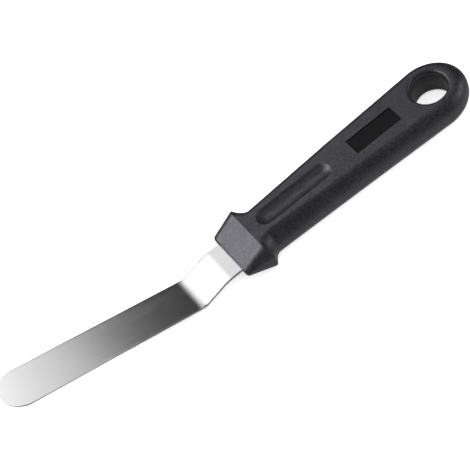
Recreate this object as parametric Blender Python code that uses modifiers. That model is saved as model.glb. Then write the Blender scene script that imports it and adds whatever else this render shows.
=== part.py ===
"""Offset spatula: a stamped stainless blade with a cranked neck, in a moulded plastic handle.

Units are metres, +Z is up. The handle lies flat on its underside at z = 0, the butt points to +X
and the blade to -X, and the origin is under the middle of the whole length. Inside the functions,
x counts from the front of the handle and z from the middle of the sheet in the tang.
"""
import math

import bmesh
import bpy

MM = 0.001

# Sheet steel
SHEET = 0.8 * MM                 # thickness of the strip
NECK_WIDTH = 18.2 * MM           # width of the strip where it leaves the handle
TIP_WIDTH = 20.0 * MM            # width of the strip where the round tip begins
STUB_LENGTH = 8.0 * MM           # level run in front of the handle
NECK_RUN = 13.3 * MM             # length of the sloping neck, along X
NECK_DROP = 4.2 * MM             # how far the neck falls
BLADE_LENGTH = 91.4 * MM         # heel to tip, along the blade
BLADE_RISE = math.radians(16.9)  # angle of the blade to the handle
STUB_BEND = 14.0 * MM            # bend radii, on the middle of the sheet
HEEL_BEND = 7.0 * MM

# Tang, hidden in the handle
SHOULDER_DEPTH = 5.0 * MM        # how far the full width goes into the bolster
TANG_WIDTH = 11.0 * MM
TANG_LENGTH = 76.0 * MM          # from the front of the handle to the end of the tang
LOCK_HOLE = 5.0 * MM             # diameter of the two locking holes
LOCK_FIRST = 22.0 * MM           # from the front of the handle to the first hole
LOCK_PITCH = 40.0 * MM
FIT = 0.3 * MM                   # clearance between steel and plastic, all round

# Wedge bolster and guard
HANDLE_BELOW = 6.9 * MM          # from the middle of the sheet down to the flat underside
FRONT_WIDTH = 25.4 * MM          # blunt front of the wedge, over its rounded corners
FRONT_HEIGHT = 4.0 * MM
FRONT_FLAT = 19.6 * MM           # flat width of the wedge at the front
FRONT_SIDE = 0.8 * MM            # upright part of the wedge's side at the front
FRONT_CORNER = 1.2 * MM          # radius of the front corners, in plan
RIDGE_X = 11.5 * MM              # where the wedge ends
RIDGE_ABOVE = 7.5 * MM           # height of the ridge
RIDGE_WIDTH = 21.6 * MM          # flat width of the wedge at the ridge
GUARD_X = 12.4 * MM              # widest place of the guard
GUARD_WIDTH = 31.6 * MM
GUARD_SIDE = 4.4 * MM            # height of the guard's upright side
GUARD_ROUND = 1.0 * MM
FLANK_SLOPE = math.radians(55)   # of the guard's back flank, in plan
HOLLOW = 5.4 * MM                # length of the hollow behind the guard

# Grip
HANDLE_LENGTH = 124.4 * MM
WAIST_WIDTH = 22.6 * MM
WAIST_FLAT = 12.0 * MM           # flat width of the top at the waist
BUTT_WIDTH = 29.6 * MM           # width where the round butt begins
BUTT_LENGTH = 17.4 * MM          # length of the round butt
BUTT_FLAT = 20.0 * MM            # flat width of the top at the butt
BUTT_ABOVE = 7.1 * MM            # height of the top at the butt
FLARE = 1.2                      # 1 flares evenly from waist to butt, more flares later
GRIP_SIDE = 1.6 * MM             # upright part of the grip's side

# Fullness of the corners between flat and side: 1 is a flat chamfer
TRUE_ROUND = 2.0
UPPER_FULLNESS = 1.45            # the upper corners from the front to the waist, with a crease
UNDER_FULLNESS = 1.6             # the wedge's lower corners
CREASE_END = 60.0 * MM           # where the crease has died away

# Thumb groove in the top, the track of a ball-nosed cutter
GROOVE_FRONT = 17.2 * MM
GROOVE_REAR = 54.8 * MM
GROOVE_DEPTH = 1.2 * MM
GROOVE_BALL = 8.1 * MM           # radius of the ball

# Hang hole
HOLE_FROM_BUTT = 16.4 * MM       # from the butt's end to the middle of the hole
HOLE_DIAMETER = 16.2 * MM
HOLE_RIM = 1.5 * MM              # radius of the rounded rims

# Bare sunk panel in the top
PANEL_FROM_HOLE = 17.7 * MM      # from the middle of the hole to the panel's rear edge
PANEL_LENGTH = 23.4 * MM
PANEL_WIDTH = 8.7 * MM
PANEL_DEPTH = 0.6 * MM

# Fineness
STUB_STEPS = 4
HEEL_STEPS = 8
BLADE_STEPS = 6
CORNER_STEPS = 8
FRONT_STEPS = 3
GUARD_STEPS = 6
HOLLOW_STEPS = 7
GRIP_STEPS = 10
BUTT_STEPS = 10
TIP_STEPS = 12
ROUND_STEPS = 48
BALL_STEPS = 16
RIM_STEPS = 4
MERGE = 0.01 * MM
OVERRUN = 2.0 * MM               # how far a cutter stands out of what it cuts

# Places that follow from the sizes above
TIP_REACH = (STUB_LENGTH + NECK_RUN + BLADE_LENGTH * math.cos(BLADE_RISE)
             + SHEET / 2 * math.sin(BLADE_RISE))
FRONT_X = (TIP_REACH - HANDLE_LENGTH) / 2
GUARD_BACK = GUARD_X + GUARD_ROUND * math.sin(FLANK_SLOPE)
WAIST_X = GUARD_X + HOLLOW
BUTT_X = HANDLE_LENGTH - BUTT_LENGTH
HOLE_X = HANDLE_LENGTH - HOLE_FROM_BUTT
PANEL_REAR = HOLE_X - PANEL_FROM_HOLE


def clear_scene():
    for obj in list(bpy.data.objects):
        bpy.data.objects.remove(obj, do_unlink=True)


def new_collection(name):
    coll = bpy.data.collections.new(name)
    bpy.context.scene.collection.children.link(coll)
    return coll


def new_object(name, bm, coll, seat):
    bmesh.ops.recalc_face_normals(bm, faces=bm.faces)
    mesh = bpy.data.meshes.new(name)
    bm.to_mesh(mesh)
    bm.free()
    obj = bpy.data.objects.new(name, mesh)
    coll.objects.link(obj)
    obj.parent = seat
    return obj


def new_cutter(name, bm, coll, seat):
    obj = new_object(name, bm, coll, seat)
    obj.hide_render = True
    obj.display_type = 'WIRE'
    return obj


def new_material(name, colour, roughness, metallic):
    mat = bpy.data.materials.new(name)
    mat.use_nodes = True
    bsdf = mat.node_tree.nodes["Principled BSDF"]
    bsdf.inputs["Base Color"].default_value = (*colour, 1.0)
    bsdf.inputs["Roughness"].default_value = roughness
    bsdf.inputs["Metallic"].default_value = metallic
    return mat


def cut(obj, cutter):
    mod = obj.modifiers.new(cutter.name, 'BOOLEAN')
    mod.operation = 'DIFFERENCE'
    mod.object = cutter
    mod.solver = 'EXACT'


def smooth(obj, degrees):
    obj.data.shade_smooth()
    obj.data.set_sharp_from_angle(angle=math.radians(degrees))


def lerp(a, b, t):
    return a + (b - a) * t


def hollow(a, b, t):
    """From a to b as a quarter of an ellipse that leaves a square and runs out level at b."""
    t = min(1.0, max(0.0, t))
    return a + (b - a) * math.sqrt(1.0 - (1.0 - t) ** 2)


def box(x0, x1, half_y, z0, z1):
    bm = bmesh.new()
    bmesh.ops.create_cube(bm, size=1.0)
    for v in bm.verts:
        v.co = (lerp(x0, x1, v.co.x + 0.5), 2 * half_y * v.co.y, lerp(z0, z1, v.co.z + 0.5))
    return bm


def post(x, half_z, diameter):
    """An upright cylinder through the middle of the sheet."""
    bm = bmesh.new()
    bmesh.ops.create_cone(bm, cap_ends=True, segments=ROUND_STEPS, radius1=diameter / 2,
                          radius2=diameter / 2, depth=2 * half_z)
    bmesh.ops.translate(bm, verts=bm.verts, vec=(x, 0.0, 0.0))
    return bm


def turned(name, profile, steps, coll, seat):
    """A cutter turned round its own Z axis from a profile of (radius, z), top to bottom."""
    bm = bmesh.new()
    verts = [bm.verts.new((r, 0.0, z)) for r, z in profile]
    for a, b in zip(verts, verts[1:]):
        bm.edges.new((a, b))
    obj = new_cutter(name, bm, coll, seat)
    screw = obj.modifiers.new("Screw", 'SCREW')
    screw.axis = 'Z'
    screw.steps = screw.render_steps = steps
    screw.use_merge_vertices = True
    screw.merge_threshold = MERGE
    return obj


def bend(before, corner, after, radius, steps):
    """Points of the arc that rounds one corner of the strip's side view."""
    (ax, az), (bx, bz), (cx, cz) = before, corner, after
    ra, rc = math.hypot(ax - bx, az - bz), math.hypot(cx - bx, cz - bz)
    d0 = ((ax - bx) / ra, (az - bz) / ra)
    d1 = ((cx - bx) / rc, (cz - bz) / rc)
    half = math.acos(d0[0] * d1[0] + d0[1] * d1[1]) / 2
    mid = (d0[0] + d1[0], d0[1] + d1[1])
    out = radius / math.sin(half) / math.hypot(*mid)
    centre = (bx + mid[0] * out, bz + mid[1] * out)
    run = radius / math.tan(half)
    a0 = math.atan2(bz + d0[1] * run - centre[1], bx + d0[0] * run - centre[0])
    a1 = math.atan2(bz + d1[1] * run - centre[1], bx + d1[0] * run - centre[0])
    turn = (a1 - a0 + math.pi) % (2 * math.pi) - math.pi
    return [(centre[0] + radius * math.cos(a0 + turn * i / steps),
             centre[1] + radius * math.sin(a0 + turn * i / steps)) for i in range(steps + 1)]


def blade_stations():
    """(x, z, half width) along the strip, from the shoulders to the tip."""
    stub = (-STUB_LENGTH, 0.0)
    heel = (stub[0] - NECK_RUN, -NECK_DROP)
    along = (-math.cos(BLADE_RISE), math.sin(BLADE_RISE))
    tip = (heel[0] + along[0] * BLADE_LENGTH, heel[1] + along[1] * BLADE_LENGTH)
    radius = TIP_WIDTH / 2
    out = [(SHOULDER_DEPTH, 0.0, NECK_WIDTH / 2), (0.0, 0.0, NECK_WIDTH / 2)]
    out += [(*p, NECK_WIDTH / 2) for p in bend((0.0, 0.0), stub, heel, STUB_BEND, STUB_STEPS)]
    arc = bend(stub, heel, tip, HEEL_BEND, HEEL_STEPS)
    out += [(*p, NECK_WIDTH / 2) for p in arc]
    root = math.hypot(arc[-1][0] - heel[0], arc[-1][1] - heel[1])
    shares = [i / BLADE_STEPS for i in range(1, BLADE_STEPS + 1)]
    straight = [(lerp(root, BLADE_LENGTH - radius, t), lerp(NECK_WIDTH, TIP_WIDTH, t) / 2)
                for t in shares]
    angles = [math.pi / 2 * i / TIP_STEPS for i in range(1, TIP_STEPS)]
    round_tip = [(BLADE_LENGTH - radius + radius * math.sin(a), radius * math.cos(a)) for a in angles]
    for s, half in straight + round_tip + [(BLADE_LENGTH, 0.0)]:
        out.append((heel[0] + along[0] * s, heel[1] + along[1] * s, half))
    return out


def make_blade(parts, cutters, seat):
    """Half of the bent sheet, mirrored across the length, given its thickness, then pierced."""
    share = [0.0, TANG_WIDTH / NECK_WIDTH / 2, TANG_WIDTH / NECK_WIDTH, 1.0]
    bm = bmesh.new()
    rows = [[bm.verts.new((TANG_LENGTH, NECK_WIDTH / 2 * k, 0.0)) for k in share[:3]]]
    for x, z, half in blade_stations():
        rows.append([bm.verts.new((x, half * k, z)) for k in (share if half else [0.0])])
    for a, b in zip(rows, rows[1:]):
        if len(b) == 1:
            for j in range(len(a) - 1):
                bm.faces.new((a[j], a[j + 1], b[0]))
        else:
            for j in range(min(len(a), len(b)) - 1):
                bm.faces.new((a[j], a[j + 1], b[j + 1], b[j]))
    obj = new_object("blade", bm, parts, seat)
    mirror = obj.modifiers.new("Mirror", 'MIRROR')
    mirror.use_axis = (False, True, False)
    mirror.merge_threshold = MERGE
    sheet = obj.modifiers.new("Solidify", 'SOLIDIFY')
    sheet.thickness = SHEET
    sheet.offset = 0.0
    sheet.use_even_offset = True
    for i in range(2):
        hole = post(LOCK_FIRST + LOCK_PITCH * i, SHEET, LOCK_HOLE)
        cut(obj, new_cutter(f"lock_hole_{i + 1}", hole, cutters, seat))
    return obj


def top_of(x):
    """Height of the handle's top: up the wedge to the ridge, then gently down to the butt."""
    if x < RIDGE_X:
        return lerp(FRONT_HEIGHT / 2, RIDGE_ABOVE, x / RIDGE_X)
    return lerp(RIDGE_ABOVE, BUTT_ABOVE, min(1.0, (x - RIDGE_X) / (BUTT_X - RIDGE_X)))


def bottom_of(x):
    return -lerp(FRONT_HEIGHT / 2, HANDLE_BELOW, min(1.0, x / RIDGE_X))


def guard_tangent():
    """Angle of the wedge's side in plan, and the x where it runs into the round of the guard."""
    rise = GUARD_WIDTH / 2 - GUARD_ROUND - FRONT_WIDTH / 2
    slope = math.atan2(rise, GUARD_X) + math.asin(GUARD_ROUND / math.hypot(GUARD_X, rise))
    return slope, GUARD_X - GUARD_ROUND * math.sin(slope)


def half_width(x):
    """Plan of the handle: a round front corner, then straight, round over the guard, hollow, flare."""
    shelf = GUARD_WIDTH / 2 - GUARD_ROUND
    slope, touch = guard_tangent()
    if x <= touch:
        left = max(0.0, 1.0 - x / FRONT_CORNER)
        drawn_in = FRONT_CORNER * (1.0 - math.sqrt(1.0 - left ** 2))
        return FRONT_WIDTH / 2 + x * math.tan(slope) - drawn_in
    if x <= GUARD_BACK:
        return shelf + math.sqrt(max(0.0, GUARD_ROUND ** 2 - (x - GUARD_X) ** 2))
    if x <= WAIST_X:
        flank_top = shelf + GUARD_ROUND * math.cos(FLANK_SLOPE)
        left = (WAIST_X - x) / (WAIST_X - GUARD_BACK)
        return lerp(WAIST_WIDTH / 2, flank_top, left ** 2)
    return lerp(WAIST_WIDTH, BUTT_WIDTH, ((x - WAIST_X) / (BUTT_X - WAIST_X)) ** FLARE) / 2


def half_flat(x):
    """Half of the flat width of the top and the underside."""
    if x <= RIDGE_X:
        return lerp(FRONT_FLAT, RIDGE_WIDTH, x / RIDGE_X) / 2
    if x <= WAIST_X:
        return hollow(RIDGE_WIDTH, WAIST_FLAT, (x - RIDGE_X) / (WAIST_X - RIDGE_X)) / 2
    return lerp(WAIST_FLAT, BUTT_FLAT, (x - WAIST_X) / (BUTT_X - WAIST_X)) / 2


def corner(fullness):
    """(out, up) shares of a quarter turn from a flat to a side."""
    power = TRUE_ROUND / fullness
    angles = [math.pi / 2 * i / CORNER_STEPS for i in range(CORNER_STEPS + 1)]
    return [(math.sin(a) ** power, max(0.0, math.cos(a)) ** power) for a in angles]


def half_section(x):
    """(x, y, z) of half of a cross-section, from the middle of the top to that of the underside.

    Up to the waist the sections lean back at their sides, so that one section runs along the ridge
    and the back edge of the guard.
    """
    wedge = min(1.0, x / RIDGE_X)
    behind = min(1.0, max(0.0, (x - RIDGE_X) / (WAIST_X - RIDGE_X)))
    crease = min(1.0, max(0.0, (CREASE_END - x) / (CREASE_END - WAIST_X)))
    lean = (GUARD_BACK - RIDGE_X) * (wedge if x <= RIDGE_X else 1.0 - behind)
    wide, flat = half_width(x + lean), half_flat(x)
    side = lerp(lerp(FRONT_SIDE, GUARD_SIDE, wedge), GRIP_SIDE, behind) / 2
    upper = corner(lerp(TRUE_ROUND, UPPER_FULLNESS, crease))
    lower = corner(lerp(UNDER_FULLNESS, TRUE_ROUND, behind))
    top, bottom = top_of(x), bottom_of(x)
    out = [(x, 0.0, top)]
    out += [(x + lean * u, lerp(flat, wide, u), lerp(side, top, v)) for u, v in upper]
    out += [(x + lean * u, lerp(flat, wide, u), lerp(-side, bottom, v)) for u, v in reversed(lower)]
    return out + [(x, 0.0, bottom)]


def handle_stations():
    slope, touch = guard_tangent()
    turn = (FLANK_SLOPE + slope) / GUARD_STEPS
    quarter = math.pi / 2
    wedge = [FRONT_CORNER * (1 - math.cos(quarter * i / FRONT_STEPS)) for i in range(FRONT_STEPS)]
    wedge += [lerp(FRONT_CORNER, touch, i / FRONT_STEPS) for i in range(FRONT_STEPS)]
    guard = [GUARD_X + GUARD_ROUND * math.sin(turn * i - slope) for i in range(GUARD_STEPS + 1)]
    front = [x * RIDGE_X / GUARD_BACK for x in wedge + guard]
    dip = [lerp(RIDGE_X, WAIST_X, 1 - math.cos(quarter * i / HOLLOW_STEPS))
           for i in range(1, HOLLOW_STEPS + 1)]
    grip = [lerp(WAIST_X, BUTT_X, i / GRIP_STEPS) for i in range(1, GRIP_STEPS + 1)]
    return front + dip + grip


def make_handle_body(parts, seat):
    """Loft of half-sections along the handle, turned a quarter round at the butt, then mirrored."""
    bm = bmesh.new()
    rows = [[bm.verts.new(p) for p in half_section(x)] for x in handle_stations()]
    bm.faces.new(rows[0])
    butt = half_section(BUTT_X)
    stretch = BUTT_LENGTH / (BUTT_WIDTH / 2)
    for i in range(1, BUTT_STEPS + 1):
        a = math.pi / 2 * i / BUTT_STEPS
        turn = [bm.verts.new((BUTT_X + y * stretch * math.sin(a), y * math.cos(a), z))
                for x, y, z in butt[1:-1]]
        rows.append([rows[-1][0]] + turn + [rows[-1][-1]])
    for a, b in zip(rows, rows[1:]):
        for j in range(len(a) - 1):
            ring = list(dict.fromkeys((a[j], a[j + 1], b[j + 1], b[j])))
            bm.faces.new(ring)
    obj = new_object("handle", bm, parts, seat)
    mirror = obj.modifiers.new("Mirror", 'MIRROR')
    mirror.use_axis = (False, True, False)
    mirror.merge_threshold = MERGE
    return obj


def groove_cutter(coll, seat):
    """The space that the ball sweeps: a round bar with ball ends, laid along the falling top."""
    reach = math.sqrt(GROOVE_BALL ** 2 - (GROOVE_BALL - GROOVE_DEPTH) ** 2)
    half_run = (GROOVE_REAR - GROOVE_FRONT) / 2 - reach
    profile = []
    for end, first in ((half_run, 0.0), (-half_run, math.pi / 2)):
        for i in range(BALL_STEPS + 1):
            a = first + math.pi / 2 * i / BALL_STEPS
            profile.append((max(0.0, GROOVE_BALL * math.sin(a)), end + GROOVE_BALL * math.cos(a)))
    obj = turned("thumb_groove", profile, 2 * ROUND_STEPS, coll, seat)
    middle = (GROOVE_FRONT + GROOVE_REAR) / 2
    fall = math.atan2(top_of(GROOVE_FRONT) - top_of(GROOVE_REAR), GROOVE_REAR - GROOVE_FRONT)
    obj.location = (middle, 0.0, top_of(middle) - GROOVE_DEPTH + GROOVE_BALL)
    obj.rotation_euler = (0.0, math.pi / 2 + fall, 0.0)
    return obj


def hang_hole_cutter(coll, seat):
    """The bore with a rounded rim at the top and at the underside."""
    top, bottom = top_of(HOLE_X), bottom_of(HOLE_X)
    bore, wide = HOLE_DIAMETER / 2, HOLE_DIAMETER / 2 + HOLE_RIM
    rim = [(wide - HOLE_RIM * math.sin(a), HOLE_RIM * math.cos(a))
           for a in (math.pi / 2 * i / RIM_STEPS for i in range(RIM_STEPS + 1))]
    profile = [(0.0, top + OVERRUN), (wide, top + OVERRUN)]
    profile += [(r, top - HOLE_RIM + h) for r, h in rim]
    profile += [(r, bottom + HOLE_RIM - h) for r, h in reversed(rim)]
    profile += [(wide, bottom - OVERRUN), (0.0, bottom - OVERRUN)]
    obj = turned("hang_hole", profile, ROUND_STEPS, coll, seat)
    obj.location = (HOLE_X, 0.0, 0.0)
    return obj


def make_handle(parts, cutters, seat):
    obj = make_handle_body(parts, seat)
    # Socket for the tang, with a pin left standing in each locking hole
    half = SHEET / 2 + FIT
    tang = box(-OVERRUN, TANG_LENGTH + FIT, TANG_WIDTH / 2 + FIT, -half, half)
    socket = new_cutter("tang_socket", tang, cutters, seat)
    for i in range(2):
        pin = post(LOCK_FIRST + LOCK_PITCH * i, half + OVERRUN, LOCK_HOLE - 2 * FIT)
        cut(socket, new_cutter(f"lock_pin_{i + 1}", pin, cutters, seat))
    cut(obj, socket)
    mouth = box(-OVERRUN, SHOULDER_DEPTH + FIT, NECK_WIDTH / 2 + FIT, -half, half)
    cut(obj, new_cutter("socket_mouth", mouth, cutters, seat))
    cut(obj, groove_cutter(cutters, seat))
    panel_top = top_of(PANEL_REAR - PANEL_LENGTH / 2)
    panel = box(PANEL_REAR - PANEL_LENGTH, PANEL_REAR, PANEL_WIDTH / 2,
                panel_top - PANEL_DEPTH, panel_top + OVERRUN)
    cut(obj, new_cutter("sunk_panel", panel, cutters, seat))
    cut(obj, hang_hole_cutter(cutters, seat))
    smooth(obj, 30)
    return obj


def main():
    clear_scene()
    parts = new_collection("offset_spatula")
    cutters = new_collection("cutters")
    seat = bpy.data.objects.new("handle_front", None)
    seat.location = (FRONT_X, 0.0, HANDLE_BELOW)
    parts.objects.link(seat)
    blade = make_blade(parts, cutters, seat)
    handle = make_handle(parts, cutters, seat)
    blade.data.materials.append(new_material("stainless_steel", (0.60, 0.60, 0.61), 0.22, 1.0))
    handle.data.materials.append(new_material("black_plastic", (0.030, 0.030, 0.034), 0.55, 0.0))


main()
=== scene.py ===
# %% [markdown]
# # An offset spatula, dressed for its portrait
#
# A baker spreads icing with this tool. A strip of stainless sheet is cranked just in front of the
# handle, so that the knuckles stay clear of the cake, and a black plastic handle is moulded round the
# strip's tail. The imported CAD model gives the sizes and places. This lesson replaces its two faceted
# solids by two smooth pieces with real finishes, in the same frame: metres, +Z up, blade to -X.

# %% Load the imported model
import math

import bmesh
import bpy
import numpy as np
from mathutils import Euler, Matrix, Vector


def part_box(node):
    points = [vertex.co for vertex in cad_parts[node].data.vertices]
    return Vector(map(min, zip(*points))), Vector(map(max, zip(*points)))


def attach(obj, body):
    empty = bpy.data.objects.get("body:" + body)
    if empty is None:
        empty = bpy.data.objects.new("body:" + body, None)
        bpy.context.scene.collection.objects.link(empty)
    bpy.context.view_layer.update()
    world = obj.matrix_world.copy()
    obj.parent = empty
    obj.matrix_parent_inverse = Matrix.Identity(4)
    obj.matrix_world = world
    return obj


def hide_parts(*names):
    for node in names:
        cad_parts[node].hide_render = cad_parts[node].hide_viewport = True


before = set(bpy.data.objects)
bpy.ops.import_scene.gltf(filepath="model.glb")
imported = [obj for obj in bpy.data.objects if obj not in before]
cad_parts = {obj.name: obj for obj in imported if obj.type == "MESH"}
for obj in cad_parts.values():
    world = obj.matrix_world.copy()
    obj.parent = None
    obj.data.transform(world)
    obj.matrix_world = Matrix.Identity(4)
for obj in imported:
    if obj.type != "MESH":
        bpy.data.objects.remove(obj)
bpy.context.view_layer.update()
MM = 0.001

# %% [markdown]
# ## The camera
#
# The tool lies on a diagonal in the picture, seen from about 53 degrees above. A long lens from most
# of a metre away keeps the handle's far end nearly as wide as its near end. The camera comes first,
# because every later choice of light and finish is judged through it.

# %% Place the camera
CAMERA_PLACE = (-0.09267, -0.45785, 0.63315)
CAMERA_TURN = (33.3990, 17.3074, -35.5418)      # degrees about X, Y and Z
PICTURE_SIDE = 470                              # pixels
LENS_IN_PIXELS = 1900
SENSOR = 36.0                                   # millimetres, as Blender counts lenses
NEAREST = 0.01                                  # metres, nothing nearer is drawn

camera_data = bpy.data.cameras.new("portrait_camera")
camera_data.sensor_width = SENSOR
camera_data.lens = LENS_IN_PIXELS / PICTURE_SIDE * SENSOR
camera_data.clip_start = NEAREST
camera = bpy.data.objects.new("portrait_camera", camera_data)
camera.location = CAMERA_PLACE
camera.rotation_euler = Euler([math.radians(turn) for turn in CAMERA_TURN])
bpy.context.scene.collection.objects.link(camera)
bpy.context.scene.camera = camera
print(f"lens {camera_data.lens:.1f} mm, {Vector(CAMERA_PLACE).length:.3f} m from the origin")

# %% [markdown]
# ## Where things are
#
# The frame already knows where the handle starts, how long, wide and high it is, and how deep the tang
# goes. Measuring these on the CAD nodes, instead of typing them again, keeps the smooth pieces inside
# the solids they stand for. In the handle's own coordinates, x counts back from its blunt front and z
# up from the middle of the sheet, so one small vector carries a point from there to the shared frame.

# %% Measure the frame
handle_low, handle_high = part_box("handle")
_, blade_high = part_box("blade")
SHEET_ABOVE_TABLE = 6.9 * MM                    # the middle of the sheet, in the handle
HANDLE_LENGTH = handle_high.x - handle_low.x
GUARD_WIDTH = handle_high.y - handle_low.y
RIDGE_ABOVE = handle_high.z - SHEET_ABOVE_TABLE
TANG_LENGTH = blade_high.x - handle_low.x
HANDLE_FRONT = Vector((handle_low.x, 0.0, SHEET_ABOVE_TABLE))
print(f"handle {HANDLE_LENGTH / MM:.1f} long, {GUARD_WIDTH / MM:.1f} over the guard, "
      f"tang {TANG_LENGTH / MM:.1f} deep")

# %% [markdown]
# ## The steel strip: its path
#
# The blank is stamped flat and then bent twice in a press: softly down in front of the handle, and
# tightly up again at the heel, where the spring of the sheet leaves a long soft rest of the bend. Seen
# from the side it is a line with three rounded corners. A curve can carry that line, and each point's
# radius value can carry the bend radius for the node tree to read.

# %% Draw the side view of the strip
SHEET = 0.8 * MM
STUB_LENGTH = 8.0 * MM
NECK_RUN = 12.6 * MM
NECK_DROP = 3.98 * MM
BLADE_LENGTH = 92.1 * MM
BLADE_RISE = math.radians(16.65)
STUB_BEND = 22.0 * MM
HEEL_BEND = 3.5 * MM
REST_BEND = 28.0 * MM
HEEL_EARLY = 0.47 * MM                          # the tight bend lies this far before the heel
REST_LATE = 2.0 * MM                            # the soft rest of the bend lies this far after it

stub_end = Vector((-STUB_LENGTH, 0.0, 0.0))
heel = stub_end + Vector((-NECK_RUN, 0.0, -NECK_DROP))
blade_way = Vector((-math.cos(BLADE_RISE), 0.0, math.sin(BLADE_RISE)))
tip = heel + BLADE_LENGTH * blade_way
tight_bend = heel + HEEL_EARLY * (stub_end - heel).normalized()
soft_rest = heel + REST_LATE * blade_way
tang_end = Vector((TANG_LENGTH, 0.0, 0.0))

path_data = bpy.data.curves.new("strip_path", 'CURVE')
path_data.dimensions = '3D'
spline = path_data.splines.new('POLY')
places = (tang_end, stub_end, tight_bend, soft_rest, tip)
bends = (0.0, STUB_BEND, HEEL_BEND, REST_BEND, 0.0)
spline.points.add(len(places) - 1)
for point, place, radius in zip(spline.points, places, bends):
    point.co = (*(place + HANDLE_FRONT), 1.0)
    point.radius = radius
strip = bpy.data.objects.new("strip_path", path_data)
bpy.context.scene.collection.objects.link(strip)
print(f"tip {(tip + HANDLE_FRONT).z / MM:.1f} mm above the table")

# %% [markdown]
# ## Small helpers
#
# Geometry and shader trees are wired the same way here: make a node, set its plain settings, then give
# each input either a value or another node's output. Two small helpers keep the recipes readable. Two
# more do the everyday sums: go a share of the way from a to b, and keep a share between 0 and 1.

# %% Define the small helpers
def node(tree, kind, inputs=None, **settings):
    """Adds a node. inputs maps a socket's name or number to a value or to another node's output."""
    made = tree.nodes.new(kind)
    for name, value in settings.items():
        setattr(made, name, value)
    for name, value in (inputs or {}).items():
        if isinstance(value, bpy.types.NodeSocket):
            tree.links.new(value, made.inputs[name])
        else:
            made.inputs[name].default_value = value
    return made


def sums(tree, operation, *values):
    """A Math node and its output. Geometry and shader trees share this node."""
    return node(tree, 'ShaderNodeMath', dict(enumerate(values)), operation=operation).outputs[0]


def lerp(a, b, t):
    return a + (b - a) * t


def unit(value):
    return min(1.0, max(0.0, value))


print("helpers ready")

# %% [markdown]
# ## The steel strip: a tree that follows the path
#
# The strip's shape follows a rule: go along the bent path, and at each place be so wide. Geometry Nodes
# suit that. A flat grid is the unbent blank. Its long side is laid along the rounded path, and its
# short side is stretched to the width that the rule gives there: narrow in the handle, then the neck,
# then slowly wider to the tip. For the round tip the square end of the grid is pressed into half a
# disc, x = a sqrt(1 - v^2/2) and y = v sqrt(1 - a^2/2), which leaves no pinched point at the end. The
# press also draws the neck's edges down by a hair, which shows as a fine line along its far edge.

# %% Name the inputs of the strip's tree
TANG_WIDTH = 11.0 * MM
NECK_WIDTH = 18.2 * MM
TIP_WIDTH = 20.0 * MM
SHOULDER_DEPTH = 5.0 * MM
SHOULDER_RUN = TANG_LENGTH - SHOULDER_DEPTH
HEEL_RUN = TANG_LENGTH + STUB_LENGTH + NECK_RUN  # along the strip, from the end of the tang
EDGE_ROLL = 0.03 * MM                           # the press draws the neck's edges down by this
ROLL_FADE = 8.0 * MM                            # past the heel, the run in which that fades out

strip_tree = bpy.data.node_groups.new("strip_along_path", 'GeometryNodeTree')
strip_sizes = {"Tang width": TANG_WIDTH, "Neck width": NECK_WIDTH, "Tip width": TIP_WIDTH,
               "Tang run": SHOULDER_RUN, "Taper start": HEEL_RUN,
               "Edge roll": EDGE_ROLL, "Roll end": HEEL_RUN + ROLL_FADE}
strip_tree.interface.new_socket("Path", in_out='INPUT', socket_type='NodeSocketGeometry')
for name in strip_sizes:
    strip_tree.interface.new_socket(name, in_out='INPUT', socket_type='NodeSocketFloat')
for name in ("Rows", "Columns"):
    strip_tree.interface.new_socket(name, in_out='INPUT', socket_type='NodeSocketInt')
strip_tree.interface.new_socket("Finish", in_out='INPUT', socket_type='NodeSocketMaterial')
strip_tree.interface.new_socket("Strip", in_out='OUTPUT', socket_type='NodeSocketGeometry')
print("inputs:", [item.name for item in strip_tree.interface.items_tree if item.in_out == 'INPUT'])

# %% Wire the strip's tree
BEND_STEPS = 24
ROLL_START = 0.92                               # share of the half width at which the roll begins


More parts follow.
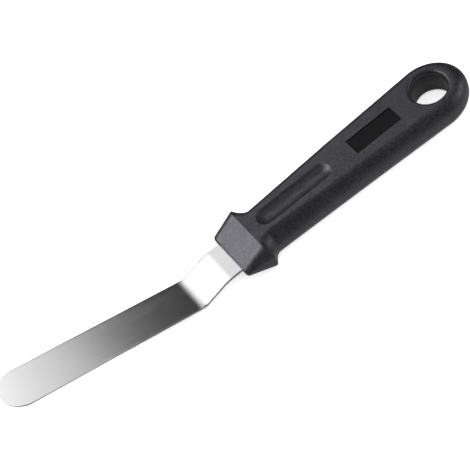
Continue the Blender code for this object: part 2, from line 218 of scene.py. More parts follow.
def wire_strip(tree):
    given = node(tree, 'NodeGroupInput').outputs
    # the rounded path, and the flat blank with the place of each of its points
    bend = node(tree, 'GeometryNodeInputRadius').outputs[0]
    path = node(tree, 'GeometryNodeFilletCurve',
                {"Curve": given["Path"], "Count": BEND_STEPS, "Radius": bend}, mode='POLY').outputs[0]
    length = node(tree, 'GeometryNodeCurveLength', {0: path}).outputs[0]
    blank = node(tree, 'GeometryNodeMeshGrid', {"Size X": 1.0, "Size Y": 2.0,
                 "Vertices X": given["Rows"], "Vertices Y": given["Columns"]}).outputs["Mesh"]
    place = node(tree, 'GeometryNodeInputPosition').outputs[0]
    flat = node(tree, 'ShaderNodeSeparateXYZ', {0: place}).outputs
    along = sums(tree, 'MULTIPLY', sums(tree, 'ADD', flat["X"], 0.5), length)
    across = flat["Y"]

    # how far a point lies along the path, with the end pressed into half a disc
    tip_radius = sums(tree, 'MULTIPLY', given["Tip width"], 0.5)
    straight = sums(tree, 'SUBTRACT', length, tip_radius)
    into_tip = sums(tree, 'DIVIDE', sums(tree, 'SUBTRACT', along, straight), tip_radius)
    into_tip = sums(tree, 'MAXIMUM', into_tip, 0.0)

    def disc(value):
        half_square = sums(tree, 'MULTIPLY', sums(tree, 'MULTIPLY', value, value), 0.5)
        return sums(tree, 'SQRT', sums(tree, 'SUBTRACT', 1.0, half_square))

    reach = sums(tree, 'MULTIPLY', sums(tree, 'MULTIPLY', into_tip, disc(across)), tip_radius)
    run = sums(tree, 'ADD', sums(tree, 'MINIMUM', along, straight), reach)
    on_path = node(tree, 'GeometryNodeSampleCurve', {"Curves": path, "Length": run},
                   mode='LENGTH').outputs["Position"]

    # how far it lies to the side, by the width that the rule gives there
    width = node(tree, 'ShaderNodeMapRange', {
        "Value": along, "From Min": given["Taper start"], "From Max": straight,
        "To Min": given["Neck width"], "To Max": given["Tip width"]}).outputs[0]
    in_handle = node(tree, 'FunctionNodeCompare', {"A": along, "B": given["Tang run"]},
                     data_type='FLOAT', operation='LESS_THAN').outputs[0]
    width = node(tree, 'GeometryNodeSwitch', {"Switch": in_handle, "False": width,
                 "True": given["Tang width"]}, input_type='FLOAT').outputs[0]
    side = sums(tree, 'MULTIPLY', sums(tree, 'MULTIPLY', across, disc(into_tip)),
                sums(tree, 'MULTIPLY', width, -0.5))

    # how far the press draws it down, close to the edges
    at_edge = node(tree, 'ShaderNodeMapRange', {
        "Value": sums(tree, 'ABSOLUTE', across), "From Min": ROLL_START, "From Max": 1.0,
        "To Min": 0.0, "To Max": -1.0}).outputs[0]
    roll = node(tree, 'ShaderNodeMapRange', {
        "Value": along, "From Min": given["Taper start"], "From Max": given["Roll end"],
        "To Min": given["Edge roll"], "To Max": 0.0}).outputs[0]
    drop = sums(tree, 'MULTIPLY', at_edge, roll)

    # move the blank there, and hand it over as one smooth sheet
    offset = node(tree, 'ShaderNodeCombineXYZ', {"Y": side, "Z": drop}).outputs[0]
    bent = node(tree, 'ShaderNodeVectorMath', {0: on_path, 1: offset}, operation='ADD').outputs[0]
    sheet = node(tree, 'GeometryNodeSetPosition', {"Geometry": blank, "Position": bent}).outputs[0]
    sheet = node(tree, 'GeometryNodeSetShadeSmooth', {0: sheet}).outputs[0]
    sheet = node(tree, 'GeometryNodeRealizeInstances', {0: sheet}).outputs[0]
    sheet = node(tree, 'GeometryNodeSetMaterial', {0: sheet, "Material": given["Finish"]}).outputs[0]
    node(tree, 'NodeGroupOutput', {0: sheet})


wire_strip(strip_tree)
print(len(strip_tree.nodes), "nodes in the strip's tree")

# %% [markdown]
# ## Helpers for pieces
#
# Every piece starts as a mesh drawn point by point or as the result of modifiers. The helpers make an
# object of the first, settle the second into a plain mesh, cut one piece with another, and take away
# the cutters when they have done their work. The cutters here are mostly round posts.

# %% Define the helpers for pieces
ROUND_STEPS = 96


def new_piece(name, bm, materials=()):
    bmesh.ops.recalc_face_normals(bm, faces=bm.faces)
    mesh = bpy.data.meshes.new(name)
    bm.to_mesh(mesh)
    bm.free()
    for material in materials:
        mesh.materials.append(material)
    made = bpy.data.objects.new(name, mesh)
    bpy.context.scene.collection.objects.link(made)
    return made


def settled(obj, name):
    """A new object that holds the result of obj's modifiers as a plain mesh. obj is taken away."""
    bpy.context.view_layer.update()
    mesh = bpy.data.meshes.new_from_object(obj.evaluated_get(bpy.context.evaluated_depsgraph_get()))
    mesh.name = name
    made = bpy.data.objects.new(name, mesh)
    bpy.context.scene.collection.objects.link(made)
    clear([obj])
    return made


def cut(obj, cutter):
    boolean = obj.modifiers.new(cutter.name, 'BOOLEAN')
    boolean.operation = 'DIFFERENCE'
    boolean.solver = 'EXACT'
    boolean.object = cutter


def clear(objects):
    for obj in objects:
        bpy.data.objects.remove(obj, do_unlink=True)


def upright_post(name, x, half_height, diameter):
    bm = bmesh.new()
    bmesh.ops.create_cone(bm, cap_ends=True, segments=ROUND_STEPS, radius1=diameter / 2,
                          radius2=diameter / 2, depth=2 * half_height)
    bmesh.ops.translate(bm, verts=bm.verts, vec=HANDLE_FRONT + Vector((x, 0.0, 0.0)))
    return new_piece(name, bm)


print("posts have", ROUND_STEPS, "sides")

# %% [markdown]
# ## The steel strip: from sheet to solid
#
# The tree makes the middle of the sheet, with no thickness. Solidify gives it the gauge, less towards
# the tip, where the blade is ground thin to bend. The cut edge goes in a second material slot, because
# a sheared edge is duller than a rolled face; that slot is also painted darker, a painted shade that
# draws the edge as a dark line. A small bevel in that slot takes off the burr. Further out the edge
# goes back to the faces' slot, so the painted dark line stops there. Two holes pierce the tang, so that
# the plastic can lock through it.

# %% Bend the sheet
STRIP_ROWS = 560
STRIP_COLUMNS = 25
FACE_SLOT, EDGE_SLOT = 0, 1

rolled_steel = bpy.data.materials.new("rolled_stainless")
# the edge's material is duller and also painted dark: painted shade that draws a dark line along the
# edge
dull_edge_steel_painted_dark = bpy.data.materials.new("sheared_edge_painted_shade")


def bend_sheet():
    follow = strip.modifiers.new("Follow the path", 'NODES')
    follow.node_group = strip_tree
    wanted = {**strip_sizes, "Rows": STRIP_ROWS, "Columns": STRIP_COLUMNS, "Finish": rolled_steel}
    for item in strip_tree.interface.items_tree:
        if item.name in wanted:
            follow[item.identifier] = wanted[item.name]
    sheet = settled(strip, "steel_sheet")
    while sheet.data.materials[0] is None:      # the curve hands on an empty slot
        sheet.data.materials.pop(index=0)
    sheet.data.materials.append(dull_edge_steel_painted_dark)
    return sheet


blade = bend_sheet()
print("sheet:", len(blade.data.polygons), "faces")

# %% Thicken and pierce it
TIP_SHARE = 0.4                                 # the tip is ground to this share of the gauge
BURR = 0.16 * MM
BURR_STEPS = 3
BURR_ANGLE = math.radians(60)                   # only edges that turn by more are eased
EDGE_SHADE_END = 36.0 * MM                        # past the heel, where the painted dark edge ends
LOCK_HOLE = 5.0 * MM
LOCK_PLACES = (22.0 * MM, 62.0 * MM)            # the two holes, from the handle's front
BLADE_CREASE = math.radians(35)                 # edges that turn by more are shaded sharp

heel_x, tip_x = (heel + HANDLE_FRONT).x, (tip + HANDLE_FRONT).x


def thicken(sheet):
    grind = sheet.vertex_groups.new(name="grind")
    for vertex in sheet.data.vertices:
        to_tip = unit((heel_x - vertex.co.x) / (heel_x - tip_x))
        grind.add([vertex.index], lerp(1.0, TIP_SHARE, to_tip), 'REPLACE')
    gauge = sheet.modifiers.new("Gauge", 'SOLIDIFY')
    gauge.thickness = SHEET
    gauge.vertex_group = grind.name
    gauge.offset = 0.0
    gauge.use_even_offset = True
    gauge.material_offset_rim = EDGE_SLOT
    burr = sheet.modifiers.new("Burr taken off", 'BEVEL')
    burr.width = BURR
    burr.segments = BURR_STEPS
    burr.material = EDGE_SLOT
    burr.limit_method = 'ANGLE'
    burr.angle_limit = BURR_ANGLE
    burr.use_clamp_overlap = False


def make_blade(sheet):
    thicken(sheet)
    posts = [upright_post(f"lock_hole_{i}", x, SHEET, LOCK_HOLE) for i, x in enumerate(LOCK_PLACES)]
    for post in posts:
        cut(sheet, post)
    blade = settled(sheet, "spatula_blade")
    clear(posts)
    # further out the edge takes the faces' slot again, so the painted dark line covers only the rear of
    # the blade
    for face in blade.data.polygons:
        if face.center.x < heel_x - EDGE_SHADE_END:
            face.material_index = FACE_SLOT
    blade.data.set_sharp_from_angle(angle=BLADE_CREASE)
    return blade


blade = make_blade(blade)
print("blade:", len(blade.data.polygons), "faces")

# %% [markdown]
# ## The handle: rules for its outline
#
# The handle is one moulding. From the blunt front a wedge grows to a ridge and a guard that stops the
# fingers, then the form drops into a hollow and flares slowly to a round butt. Each of these is a
# short rule of x: how high the top is, how wide the plan is, how wide the flat on top is. A quarter
# ellipse leaves the guard square and runs out level, which is the hollow behind it.

# %% Define the handle's outline
FRONT_WIDTH = 25.4 * MM
FRONT_HEIGHT = 4.0 * MM
FRONT_FLAT = 19.6 * MM
FRONT_SIDE = 0.8 * MM
FRONT_CORNER = 1.2 * MM                        # rounds the front in plan
FRONT_EASE = 0.6 * MM                          # rounds the front's upper and lower edge
RIDGE_X = 11.5 * MM
RIDGE_WIDTH = 21.6 * MM
GUARD_X = 12.4 * MM
GUARD_SIDE = 4.4 * MM
GUARD_ROUND = 1.0 * MM
FLANK_SLOPE = math.radians(55)                 # of the guard's back flank, in plan
GUARD_BACK = GUARD_X + GUARD_ROUND * math.sin(FLANK_SLOPE)
WAIST_X = 17.8 * MM
WAIST_WIDTH = 22.6 * MM
WAIST_FLAT = 12.0 * MM
BUTT_LENGTH = 17.4 * MM
BUTT_X = HANDLE_LENGTH - BUTT_LENGTH
BUTT_WIDTH = 29.6 * MM
BUTT_FLAT = 20.0 * MM
BUTT_ABOVE = 7.1 * MM
FLARE = 1.2                                    # 1 flares evenly, more flares later
GRIP_SIDE = 1.6 * MM


def hollow(a, b, t):
    """Like lerp, but along a quarter ellipse that ends level."""
    return lerp(a, b, math.sqrt(1.0 - (1.0 - unit(t)) ** 2))


def round_in(x, radius):
    """How far a round edge of this radius at the front draws a section in."""
    return radius * (1.0 - math.sqrt(1.0 - unit(1.0 - x / radius) ** 2))


def top_of(x):
    if x < RIDGE_X:
        return lerp(FRONT_HEIGHT / 2, RIDGE_ABOVE, x / RIDGE_X) - round_in(x, FRONT_EASE)
    return lerp(RIDGE_ABOVE, BUTT_ABOVE, unit((x - RIDGE_X) / (BUTT_X - RIDGE_X)))


def bottom_of(x):
    return round_in(x, FRONT_EASE) - lerp(FRONT_HEIGHT / 2, SHEET_ABOVE_TABLE, unit(x / RIDGE_X))


guard_shelf = GUARD_WIDTH / 2 - GUARD_ROUND
guard_rise = guard_shelf - FRONT_WIDTH / 2
guard_slope = math.atan2(guard_rise, GUARD_X) + math.asin(GUARD_ROUND / math.hypot(GUARD_X, guard_rise))
guard_touch = GUARD_X - GUARD_ROUND * math.sin(guard_slope)
flank_top = guard_shelf + GUARD_ROUND * math.cos(FLANK_SLOPE)


def half_width(x):
    if x <= guard_touch:
        return FRONT_WIDTH / 2 + x * math.tan(guard_slope) - round_in(x, FRONT_CORNER)
    if x <= GUARD_BACK:
        return guard_shelf + math.sqrt(max(0.0, GUARD_ROUND ** 2 - (x - GUARD_X) ** 2))
    if x <= WAIST_X:
        left = (WAIST_X - x) / (WAIST_X - GUARD_BACK)
        return lerp(WAIST_WIDTH / 2, flank_top, left ** 2)
    return lerp(WAIST_WIDTH, BUTT_WIDTH, ((x - WAIST_X) / (BUTT_X - WAIST_X)) ** FLARE) / 2


def half_flat(x):
    if x <= RIDGE_X:
        return lerp(FRONT_FLAT, RIDGE_WIDTH, x / RIDGE_X) / 2
    if x <= WAIST_X:
        return hollow(RIDGE_WIDTH, WAIST_FLAT, (x - RIDGE_X) / (WAIST_X - RIDGE_X)) / 2
    return lerp(WAIST_FLAT, BUTT_FLAT, (x - WAIST_X) / (BUTT_X - WAIST_X)) / 2


print("half width at the front, waist and butt, mm:",
      [round(half_width(x) / MM, 2) for x in (0.0, WAIST_X, BUTT_X)])

# %% [markdown]
# ## The handle: what is sunk into its top
#
# A thumb groove runs back from the ridge: the track that a ball-nosed cutter leaves, sunk a little way
# and drawn straight back. A small sharp panel lies behind it, left bare. Both could be cut with
# Booleans, but a moulded groove has a rounded rim. So its depth is a smooth function of the place on
# the top: the height of the ball there, blended into the flat by the square root.

# %% Define the groove and the panel
GROOVE_FRONT = 17.2 * MM
GROOVE_REAR = 54.8 * MM
GROOVE_DEPTH = 1.4 * MM
GROOVE_BALL = 7.1 * MM
GROOVE_RIM = 0.16 * MM
HOLE_TO_END = 16.4 * MM                        # from the hang hole's middle to the end of the butt
HOLE_TO_PANEL = 17.7 * MM
PANEL_LENGTH = 23.4 * MM
PANEL_WIDTH = 8.7 * MM
PANEL_DEPTH = 0.6 * MM
PANEL_DRAFT = 0.08 * MM
PANEL_LEAD = 1.0 * MM                          # the mesh lines up with the panel this far before it

HOLE_X = HANDLE_LENGTH - HOLE_TO_END
PANEL_REAR = HOLE_X - HOLE_TO_PANEL
PANEL_FRONT = PANEL_REAR - PANEL_LENGTH
groove_half = math.sqrt(GROOVE_BALL ** 2 - (GROOVE_BALL - GROOVE_DEPTH) ** 2)
groove_start = GROOVE_FRONT + groove_half
groove_end = GROOVE_REAR - groove_half


def groove_depth(x, y):
    off_track = math.hypot(x - min(groove_end, max(groove_start, x)), y)
    depth = math.sqrt(max(0.0, GROOVE_BALL ** 2 - off_track ** 2)) - GROOVE_BALL + GROOVE_DEPTH
    return (depth + math.sqrt(depth ** 2 + GROOVE_RIM ** 2)) / 2


def sunk_edge(x):
    """Half width of the groove, and past it of the panel: one column of the mesh follows this line."""
    run = PANEL_FRONT - PANEL_LEAD - GROOVE_REAR
    return lerp(groove_half, PANEL_WIDTH / 2, unit((x - GROOVE_REAR) / run))


print(f"groove {groove_depth(groove_start, 0.0) / MM:.2f} mm deep, {2 * groove_half / MM:.1f} wide")

# %% [markdown]
# ## The handle: sections and skin
#
# A loft is a row of cross-sections joined by faces. Each half-section starts at the middle of the top,
# goes out over the flat, round the corner, down the side and back along the underside. Up to the waist
# the sections lean back at their sides, so one of them runs along the ridge and the guard's back edge.
# The corner is a superellipse, u^p + v^p = 1: with p = 2 a true round, with less nearer to a chamfer.

# %% Define one half-section
INNER_SHARES = (0.0, 0.1, 0.2, 0.3, 0.4, 0.5, 0.58, 0.66, 0.73, 0.79, 0.84, 0.89, 0.93, 0.97, 1.0)
OUTER_STEPS = 5
CORNER_STEPS = 20
MERGE = 0.002 * MM             # places closer than this are one place
TRUE_ROUND = 2.0               # fullness of a corner: 1 is a flat chamfer
WEDGE_FULLNESS = 1.8           # of the wedge's upper corner
WAIST_FULLNESS = 1.45          # of the upper corner at the waist
UNDER_FULLNESS = 1.6           # of the wedge's lower corner
CREASE_END = 60.0 * MM         # from here on the upper corner is a true round
EDGE_COLUMN = len(INNER_SHARES) - 1


def corner(fullness):
    power = TRUE_ROUND / fullness
    angles = [math.pi / 2 * i / CORNER_STEPS for i in range(CORNER_STEPS + 1)]
    return [(math.sin(a) ** power, max(0.0, math.cos(a)) ** power) for a in angles]


def half_section(x):
    wedge = unit(x / RIDGE_X)
    behind = unit((x - RIDGE_X) / (WAIST_X - RIDGE_X))
    crease = unit((CREASE_END - x) / (CREASE_END - WAIST_X))
    lean = (GUARD_BACK - RIDGE_X) * (wedge if x <= RIDGE_X else 1.0 - behind)
    wide, flat, edge = half_width(x + lean), half_flat(x), sunk_edge(x)
    side = lerp(lerp(FRONT_SIDE, GUARD_SIDE, wedge), GRIP_SIDE, behind) / 2
    top, bottom = top_of(x), bottom_of(x)
    on_flat = [edge * share for share in INNER_SHARES]
    on_flat += [lerp(edge + PANEL_DRAFT, flat, i / OUTER_STEPS) for i in range(OUTER_STEPS)]
    upper_corner = corner(lerp(TRUE_ROUND, lerp(WEDGE_FULLNESS, WAIST_FULLNESS, behind), crease))
    lower_corner = corner(lerp(UNDER_FULLNESS, TRUE_ROUND, behind))
    in_panel = PANEL_FRONT - MERGE <= x <= PANEL_REAR + MERGE
    upper = []
    for column, y in enumerate(on_flat):
        sunk = PANEL_DEPTH if in_panel and column <= EDGE_COLUMN else groove_depth(x, y)
        upper.append((x, y, top - sunk))
    upper += [(x + lean * u, lerp(flat, wide, u), lerp(side, top, v)) for u, v in upper_corner]
    lower = [(x, y, bottom) for y in on_flat]
    lower += [(x + lean * u, lerp(flat, wide, u), lerp(-side, bottom, v)) for u, v in lower_corner]
    return np.array(upper + lower[::-1])


print(len(half_section(WAIST_X)), "points in a half-section")

# %% [markdown]
# The sections crowd together where the form turns quickly: at the guard, in the hollow, at the ends of
# the groove and at the panel's edges. The blunt front is rounded in plan and eased above and below,
# and the crease along the ridge is eased by averaging neighbouring sections a few times.

# %% Lay out the sections along the handle
FRONT_STEPS = 12
WEDGE_STEPS = 24
GUARD_STEPS = 18
HOLLOW_STEPS = 48
GRIP_STEP = 0.45 * MM
FINE_STEP = 0.2 * MM
PANEL_STEPS = 36
REAR_STEPS = 36
BUTT_STEPS = 40
RIDGE_PASSES = 6                               # how often the ridge is averaged
RIDGE_REACH = 9                                # over so many sections on either side


def front_stations():
    quarter = math.pi / 2
    front = [FRONT_CORNER * (1 - math.cos(quarter * i / FRONT_STEPS)) for i in range(FRONT_STEPS)]
    wedge = list(np.linspace(FRONT_CORNER, guard_touch, WEDGE_STEPS, endpoint=False))
    turn = (FLANK_SLOPE + guard_slope) / GUARD_STEPS
    guard = [GUARD_X + GUARD_ROUND * math.sin(turn * i - guard_slope) for i in range(GUARD_STEPS + 1)]
    return [x * RIDGE_X / GUARD_BACK for x in front + wedge + guard]


def grip_stations():
    stations = list(np.arange(WAIST_X + FINE_STEP, groove_start, FINE_STEP))
    stations += list(np.arange(groove_start, groove_end, GRIP_STEP))
    stations += list(np.arange(groove_end, GROOVE_REAR + GRIP_STEP, FINE_STEP))
    stations += list(np.arange(GROOVE_REAR + 2 * GRIP_STEP, PANEL_FRONT - GRIP_STEP, GRIP_STEP))
    stations += [PANEL_FRONT - PANEL_DRAFT]
    stations += list(np.linspace(PANEL_FRONT, PANEL_REAR, PANEL_STEPS))
    stations += [PANEL_REAR + PANEL_DRAFT]
    return stations + list(np.linspace(PANEL_REAR + GRIP_STEP, BUTT_X, REAR_STEPS))


def handle_rows():
    rows = [half_section(x) for x in front_stations()]
    ridge = len(rows) - 1
    for i in range(1, HOLLOW_STEPS + 1):
        rows.append(half_section(lerp(RIDGE_X, WAIST_X, 1 - math.cos(math.pi / 2 * i / HOLLOW_STEPS))))
    rows += [half_section(x) for x in grip_stations()]
    rows = np.array(rows)
    for _ in range(RIDGE_PASSES):
        near = slice(ridge - RIDGE_REACH, ridge + RIDGE_REACH + 1)
        before = slice(near.start - 1, near.stop - 1)
        after = slice(near.start + 1, near.stop + 1)
        rows[near] = (rows[before] + 2 * rows[near] + rows[after]) / 4
    return rows


rows = handle_rows()
print(rows.shape[0], "sections of", rows.shape[1], "points")

# %% [markdown]
# At the butt the last section is turned a quarter round about the middle, stretched to the butt's
# length. One half of the skin is enough: a mirrored copy closes the handle along its middle. The floor
# of the panel gets its own material slot, because the mould is smooth there and grained elsewhere. A
# third slot waits for the bore of the hang hole.

# %% Skin the handle
grained_plastic = bpy.data.materials.new("grained_black_plastic")
panel_plastic = bpy.data.materials.new("smooth_black_panel")
# the bore keeps the core pin's rings, and mirrors less as painted shade inside the hole
bore_rings_and_painted_shade = bpy.data.materials.new("drawn_bore_painted_shade")
HANDLE_FINISHES = (grained_plastic, panel_plastic, bore_rings_and_painted_shade)
GRAIN_SLOT, PANEL_SLOT, BORE_SLOT = 0, 1, 2


def butt_rows(last):
    stretch = BUTT_LENGTH / (BUTT_WIDTH / 2)
    turned = []
    for i in range(1, BUTT_STEPS + 1):
        a = math.pi / 2 * i / BUTT_STEPS
        row = last.copy()
        row[:, 0] = BUTT_X + last[:, 1] * stretch * math.sin(a)
        row[:, 1] = last[:, 1] * math.cos(a)
        turned.append(row)
    return turned


def skin_handle(rows):
    rows = list(rows) + butt_rows(rows[-1])
    origin = np.array(HANDLE_FRONT)
    bm = bmesh.new()
    grid = [[bm.verts.new(point + origin) for point in row] for row in rows]
    half = len(grid[0]) // 2
    for j in range(half - 1):
        bm.faces.new((grid[0][j], grid[0][j + 1], grid[0][-2 - j], grid[0][-1 - j]))
    for a, b in zip(grid, grid[1:]):
        for j in range(len(a) - 1):
            face = bm.faces.new((a[j], a[j + 1], b[j + 1], b[j]))
            face.smooth = True
            x = (a[j].co.x + b[j].co.x) / 2 - origin[0]
            if j < EDGE_COLUMN and PANEL_FRONT < x < PANEL_REAR:
                face.material_index = PANEL_SLOT
    whole = bm.verts[:] + bm.edges[:] + bm.faces[:]
    bmesh.ops.mirror(bm, geom=whole, axis='Y', merge_dist=0.0)
    bmesh.ops.remove_doubles(bm, verts=bm.verts, dist=MERGE)
    return new_piece("handle_skin", bm, HANDLE_FINISHES)


handle = skin_handle(rows)
print("handle skin:", len(handle.data.polygons), "faces")

# %% [markdown]
# ## The handle: hang hole and socket
#
# A core pin in the mould leaves the hang hole, with a round rim on both sides. The steel leaves the
# socket: the plastic flows round the tang and through its two holes, so two pins of plastic stand in
# the socket. Booleans are right here, because both are clean cuts through a closed skin. The clearance
# is only a few hundredths, so the joint at the front looks as tight as a moulded one. A cut leaves the
# cutter's own material behind, so the straight band of the core pin carries the bore's slot.

# %% Cut the hole and the socket
HOLE_DIAMETER = 16.2 * MM
HOLE_RIM = 1.5 * MM
RIM_STEPS = 12
OVERRUN = 2.0 * MM                              # how far a cutter reaches past what it cuts
FIT = 0.05 * MM                                 # clearance round the tang
HANDLE_CREASE = math.radians(40)                # edges that turn by more are shaded sharp


def turned_core(name, profile, x):
    bm = bmesh.new()
    turns = [2 * math.pi * i / ROUND_STEPS for i in range(ROUND_STEPS)]
    rings = []
    for radius, z in profile:
        ring = [Vector((x + radius * math.cos(a), radius * math.sin(a), z)) for a in turns]
        rings.append([bm.verts.new(HANDLE_FRONT + place) for place in ring])
    for k, (a, b) in enumerate(zip(rings, rings[1:])):
        straight = profile[k][0] == profile[k + 1][0]
        for i in range(ROUND_STEPS):
            j = (i + 1) % ROUND_STEPS
            face = bm.faces.new((a[i], a[j], b[j], b[i]))
            face.smooth = True
            face.material_index = BORE_SLOT if straight else GRAIN_SLOT
    bm.faces.new(rings[0])
    bm.faces.new(rings[-1])
    return new_piece(name, bm, HANDLE_FINISHES)


def hang_hole_core():
    top, bottom = top_of(HOLE_X), bottom_of(HOLE_X)
    wide = HOLE_DIAMETER / 2 + HOLE_RIM
    angles = [math.pi / 2 * i / RIM_STEPS for i in range(RIM_STEPS + 1)]
    rim = [(wide - HOLE_RIM * math.sin(a), HOLE_RIM * math.cos(a)) for a in angles]
    profile = [(wide, top + OVERRUN)]
    profile += [(r, top - HOLE_RIM + h) for r, h in rim]
    profile += [(r, bottom + HOLE_RIM - h) for r, h in reversed(rim)]
    return turned_core("hang_hole_core", profile + [(wide, bottom - OVERRUN)], HOLE_X)


def slab(name, depth, width):
    bm = bmesh.new()
    bmesh.ops.create_cube(bm, size=1.0)
    for v in bm.verts:
        v.co = HANDLE_FRONT + Vector((lerp(-OVERRUN, depth + FIT, v.co.x + 0.5),
                                      (width + 2 * FIT) * v.co.y, (SHEET + 2 * FIT) * v.co.z))
    return new_piece(name, bm, (grained_plastic,))


def cut_handle(skin):
    socket = slab("tang_socket", TANG_LENGTH, TANG_WIDTH)
    pin_size = LOCK_HOLE - 2 * FIT
    pins = [upright_post(f"lock_pin_{i}", x, OVERRUN, pin_size) for i, x in enumerate(LOCK_PLACES)]
    for pin in pins:
        cut(socket, pin)
    socket = settled(socket, "socket_core")
    cores = [socket, slab("socket_mouth", SHOULDER_DEPTH, NECK_WIDTH), hang_hole_core()]
    for core in cores:
        cut(skin, core)
    handle = settled(skin, "spatula_handle")
    clear(pins + cores)
    handle.data.set_sharp_from_angle(angle=HANDLE_CREASE)
    return handle


handle = cut_handle(handle)
print("handle:", len(handle.data.polygons), "faces")

# %% [markdown]
# ## Finishes: shared effects
#
# Two effects are used by more than one material, so each is a node group. Spark grain is the fine
# pebbled texture that spark erosion leaves in a mould and the mould leaves on plastic. Rolling lines
# are the hair-fine marks that run along rolled and polished sheet. Squeezed in height instead of
# stretched along, the same lines are the rings that a turned core pin leaves in a bore.

# %% Build the shared finish groups
PIT_SHARE = 0.85                                # of the grain's mottle, the rest is blotches
LINE_SHARE = 0.5                                # of the lines' mottle, the rest is clouds
CLOUDS_PER_METRE = 250.0


def finish_group(name, inputs, outputs):
    tree = bpy.data.node_groups.new(name, 'ShaderNodeTree')
    for label, value in inputs.items():
        socket = tree.interface.new_socket(label, in_out='INPUT', socket_type='NodeSocketFloat')
        socket.default_value = value
    for label in outputs:
        tree.interface.new_socket(label, in_out='OUTPUT', socket_type='NodeSocketFloat')
    given = node(tree, 'NodeGroupInput').outputs
    place = node(tree, 'ShaderNodeTexCoord').outputs["Object"]
    return tree, given, place, node(tree, 'NodeGroupOutput')


def noise(tree, place, scale, detail, **inputs):
    wanted = {"Vector": place, "Scale": scale, "Detail": detail, **inputs}
    return node(tree, 'ShaderNodeTexNoise', wanted).outputs["Fac"]


def blend(tree, a, b, share):
    """share of a and the rest of b."""
    return sums(tree, 'ADD', sums(tree, 'MULTIPLY', a, share), sums(tree, 'MULTIPLY', b, 1.0 - share))


def spark_grain():
    inputs = {"Pits per metre": 2000.0, "Blotches per metre": 120.0}
    tree, given, place, out = finish_group("spark_grain", inputs, ("Height", "Mottle"))
    pits = noise(tree, place, given["Pits per metre"], 2.0, Roughness=0.6)
    blotches = noise(tree, place, given["Blotches per metre"], 3.0)
    tree.links.new(pits, out.inputs["Height"])
    tree.links.new(blend(tree, pits, blotches, PIT_SHARE), out.inputs["Mottle"])
    return tree


def rolling_lines():
    inputs = {"Lines per metre": 4000.0, "Stretch along": 40.0, "Stretch up": 5.0}
    tree, given, place, out = finish_group("rolling_lines", inputs, ("Height", "Mottle"))
    squeeze = node(tree, 'ShaderNodeCombineXYZ', {
        "X": sums(tree, 'DIVIDE', 1.0, given["Stretch along"]), "Y": 1.0,
        "Z": sums(tree, 'DIVIDE', 1.0, given["Stretch up"])}).outputs[0]
    along = node(tree, 'ShaderNodeVectorMath', {0: place, 1: squeeze}, operation='MULTIPLY').outputs[0]
    lines = noise(tree, along, given["Lines per metre"], 2.0)
    clouds = noise(tree, along, CLOUDS_PER_METRE, 3.0)
    tree.links.new(lines, out.inputs["Height"])
    tree.links.new(blend(tree, lines, clouds, LINE_SHARE), out.inputs["Mottle"])
    return tree


grain_group = spark_grain()
lines_group = rolling_lines()
print("finish groups:", grain_group.name, lines_group.name)

# %% [markdown]
# ## Finishes: plastic and steel
#
# The plastic is nearly black with a breath of violet, and scatters the light through its grain. The
# panel is the same plastic from a smooth, dull part of the mould. The bore of the hang hole keeps the
# faint rings of its core pin, and it mirrors less than the grained plastic: painted shade for the
# inside of the hole. The rolled faces of the steel are satin bright, so a soft light slides along the
# blade from white to grey. The sheared edge is duller, and it is also painted darker with a dark
# glance: a painted shade that reads as a thin dark line along the rear half of the blade.

# %% Define how a material is dressed
MOTTLE_RANGE = (0.40, 0.60)                     # where most of the noise's values lie


def dress(material, group, group_values, base, tint, rough, depth,
          metallic=0.0, specular=0.5, glance=(1.0, 1.0, 1.0)):
    """Mottles a material from base to tint and between two roughnesses, with bumps of this depth.
    glance tints the light that plastic mirrors, and the light that glances off metal."""
    material.use_nodes = True
    tree = material.node_tree
    bsdf = tree.nodes["Principled BSDF"]
    effect = tree.nodes.new('ShaderNodeGroup')
    effect.node_tree = group
    for name, value in group_values.items():
        effect.inputs[name].default_value = value
    mottle = node(tree, 'ShaderNodeMapRange', {
        "Value": effect.outputs["Mottle"],
        "From Min": MOTTLE_RANGE[0], "From Max": MOTTLE_RANGE[1]}).outputs[0]
    colours = {0: mottle, 6: (*base, 1.0), 7: (*tint, 1.0)}
    colour = node(tree, 'ShaderNodeMix', colours, data_type='RGBA')
    spread = node(tree, 'ShaderNodeMapRange', {"Value": mottle, "To Min": rough[0], "To Max": rough[1]})
    bump = node(tree, 'ShaderNodeBump', {"Height": effect.outputs["Height"], "Distance": depth})
    tree.links.new(colour.outputs[2], bsdf.inputs["Base Color"])
    tree.links.new(spread.outputs[0], bsdf.inputs["Roughness"])
    tree.links.new(bump.outputs[0], bsdf.inputs["Normal"])
    bsdf.inputs["Metallic"].default_value = metallic
    bsdf.inputs["Specular IOR Level"].default_value = specular
    bsdf.inputs["Specular Tint"].default_value = (*glance, 1.0)


print("ready to dress", len(bpy.data.materials), "materials")

# %% Make the five materials
dress(grained_plastic, grain_group, {"Pits per metre": 1500.0},
      base=(0.0, 0.0, 0.0), tint=(0.017, 0.0165, 0.021), rough=(0.48, 0.35), depth=0.15 * MM,
      specular=0.90, glance=(0.92, 0.89, 1.0))
dress(panel_plastic, grain_group, {"Pits per metre": 5000.0},
      base=(0.003, 0.003, 0.0035), tint=(0.006, 0.006, 0.0065), rough=(0.50, 0.60),
      depth=0.004 * MM, specular=0.10)
# the bore mirrors less than the grained plastic: painted shade inside the hang hole, with the core
# pin's rings
dress(bore_rings_and_painted_shade, lines_group, {"Lines per metre": 60.0, "Stretch along": 1.0, "Stretch up": 0.03},
      base=(0.001, 0.001, 0.001), tint=(0.020, 0.020, 0.020), rough=(0.55, 0.35), depth=0.05 * MM,
      specular=0.3)
dress(rolled_steel, lines_group, {"Lines per metre": 4000.0},
      base=(0.65, 0.65, 0.655), tint=(0.68, 0.68, 0.68), rough=(0.175, 0.20), depth=0.0003 * MM,
      metallic=1.0)
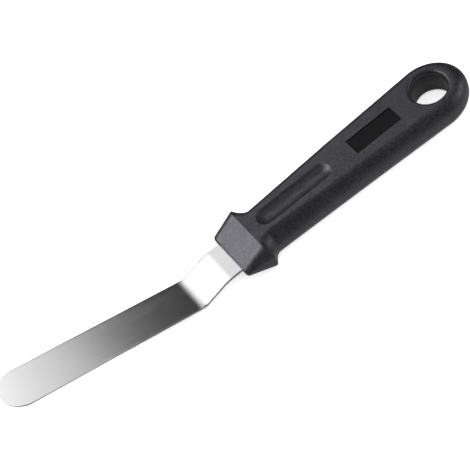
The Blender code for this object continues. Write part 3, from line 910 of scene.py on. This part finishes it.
# the sheared edge: duller, and painted darker with a dark glance, a painted shade that draws it as a
# dark line
dress(dull_edge_steel_painted_dark, lines_group, {"Lines per metre": 9000.0, "Stretch along": 1.0},
      base=(0.34, 0.34, 0.35), tint=(0.44, 0.44, 0.45), rough=(0.40, 0.55), depth=0.01 * MM,
      metallic=1.0, glance=(0.1, 0.1, 0.1))
print("dressed:", [material.name for material in (*HANDLE_FINISHES, rolled_steel, dull_edge_steel_painted_dark)])

# %% [markdown]
# ## Tie the pieces to the model
#
# Each smooth piece rides on the one body and stands for the CAD solid it was measured from, which is
# hidden.

# %% Ride and replace
pieces = ((blade, "blade", "stainless_steel"), (handle, "handle", "black_plastic"))
for piece, cad_node, finish in pieces:
    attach(piece, "root")
    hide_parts(cad_node)
    print(piece.name, "stands for", cad_node)

# %% [markdown]
# ## Table and light
#
# The portrait is made on a lit white table, so hardly a shadow shows. The table glows a little, and
# only the camera sees it: a mirrored white table would turn the black handle grey, so in the pieces
# the toned room below stands in for it.

# %% Set the table
TABLE_SIDE = 12.0                               # metres
TABLE_WHITE = (0.85, 0.85, 0.85, 1.0)
TABLE_ROUGHNESS = 0.9
TABLE_GLOW = 0.55
TABLE_GAP = 0.2 * MM                            # below the handle, so that no faces coincide


def make_table():
    bm = bmesh.new()
    bmesh.ops.create_grid(bm, x_segments=1, y_segments=1, size=TABLE_SIDE / 2)
    bmesh.ops.translate(bm, verts=bm.verts, vec=(0.0, 0.0, -TABLE_GAP))
    white = bpy.data.materials.new("lit_white_table")
    white.use_nodes = True
    bsdf = white.node_tree.nodes["Principled BSDF"]
    bsdf.inputs["Base Color"].default_value = TABLE_WHITE
    bsdf.inputs["Roughness"].default_value = TABLE_ROUGHNESS
    bsdf.inputs["Specular IOR Level"].default_value = 0.0
    bsdf.inputs["Emission Color"].default_value = (1.0, 1.0, 1.0, 1.0)
    bsdf.inputs["Emission Strength"].default_value = TABLE_GLOW
    return new_piece("white_table", bm, (white,))


table = make_table()
table.visible_diffuse = table.visible_glossy = False
print("table", TABLE_SIDE, "m square")

# %% [markdown]
# Bright steel shows what it mirrors. So five panels hang side by side over the far side, one for each
# stretch: the neck mirrors a bright one, the stub a dimmer one, the tip the brightest of the three,
# and the blade runs on over the last one's edge into the dark, which is its slide from white to grey.
# The strongest hangs at the left end of the row, for the wedge of the handle. A low panel beyond the
# butt grazes the handle, and a high one lights the blade for whoever looks straight down. The ceiling
# and a bounce near the viewer fill the shadows, and no finish mirrors them.

# %% Hang the soft panels
ROW = 0.70                                      # metres, the height of the row over the far side


def soft_panel(name, middle, size, radiance, aim=None):
    """An area light. It faces straight down, or towards aim. radiance is how bright its face looks."""
    data = bpy.data.lights.new(name, 'AREA')
    data.shape = 'RECTANGLE'
    data.size, data.size_y = size
    data.energy = radiance * math.pi * size[0] * size[1]
    light = bpy.data.objects.new(name, data)
    light.location = middle
    if aim is not None:
        light.rotation_euler = (Vector(aim) - Vector(middle)).to_track_quat('-Z', 'Y').to_euler()
    bpy.context.scene.collection.objects.link(light)
    return light


soft_panel("neck_panel", (-0.275, 0.53, ROW), (0.55, 0.50), 1.62)
soft_panel("stub_panel", (0.07, 0.69, ROW), (0.14, 0.82), 1.02)
soft_panel("tip_panel", (0.21, 0.80, ROW), (0.14, 0.60), 2.25)
soft_panel("blade_panel", (0.3365, 0.69, ROW), (0.113, 0.82), 1.12)
soft_panel("wedge_panel", (-0.77, 0.80, ROW), (0.44, 1.40), 8.9)
ceiling = soft_panel("ceiling_bounce", (0.0, 0.0, 3.0), (6.0, 6.0), 1.6)
near_bounce = soft_panel("near_bounce", (0.0, -1.6, 1.0), (2.0, 1.0), 2.0, aim=(0.0, 0.0, 0.0))
ceiling.visible_glossy = near_bounce.visible_glossy = False
soft_panel("side_panel", (0.90, -0.35, 0.22), (0.60, 0.40), 2.3, aim=(0.0, 0.0, 0.0))
soft_panel("top_panel", (0.93, 0.06, 1.50), (0.90, 0.70), 0.8, aim=(-0.06, 0.0, 0.0))

# %% [markdown]
# The room itself is light below the horizon, as a white table would be, and nearly dark above, so that
# only the panels show in the steel. Two colour ramps on the direction's height give that: one for the
# far side, and a lighter one for the near side, which the flanks and edges that face the viewer mirror.

# %% Tone the room
# each tone: its height, 0 straight down and 1 straight up, and its grey
FAR_TONES = ((0.0, 0.50), (0.25, 0.36), (0.4, 0.18), (0.5, 0.06), (0.6, 0.012))
NEAR_TONES = ((0.0, 0.60), (0.2, 0.52), (0.4, 0.34), (0.52, 0.17), (0.85, 0.075))
FAR_Y, NEAR_Y = 0.2, -0.5                       # between these the far tones give way to the near ones


def make_room():
    room = bpy.data.worlds.new("studio_room")
    room.use_nodes = True
    tree = room.node_tree
    direction = node(tree, 'ShaderNodeTexCoord').outputs["Generated"]
    axes = node(tree, 'ShaderNodeSeparateXYZ', {0: direction}).outputs
    height = node(tree, 'ShaderNodeMapRange', {
        "Value": axes["Z"], "From Min": -1.0, "From Max": 1.0}).outputs[0]
    sides = []
    for tones in (FAR_TONES, NEAR_TONES):
        ramp = node(tree, 'ShaderNodeValToRGB', {"Fac": height})
        for place, _ in tones[2:]:
            ramp.color_ramp.elements.new(place)
        for element, (place, grey) in zip(ramp.color_ramp.elements, tones):
            element.position = place
            element.color = (grey, grey, grey, 1.0)
        sides.append(ramp.outputs["Color"])
    nearness = node(tree, 'ShaderNodeMapRange', {
        "Value": axes["Y"], "From Min": FAR_Y, "From Max": NEAR_Y}).outputs[0]
    tone = node(tree, 'ShaderNodeMix', {0: nearness, 6: sides[0], 7: sides[1]}, data_type='RGBA')
    tree.links.new(tone.outputs[2], tree.nodes["Background"].inputs["Color"])
    return room


bpy.context.scene.world = make_room()
bpy.context.scene.view_settings.view_transform = 'Standard'
print("room toned")
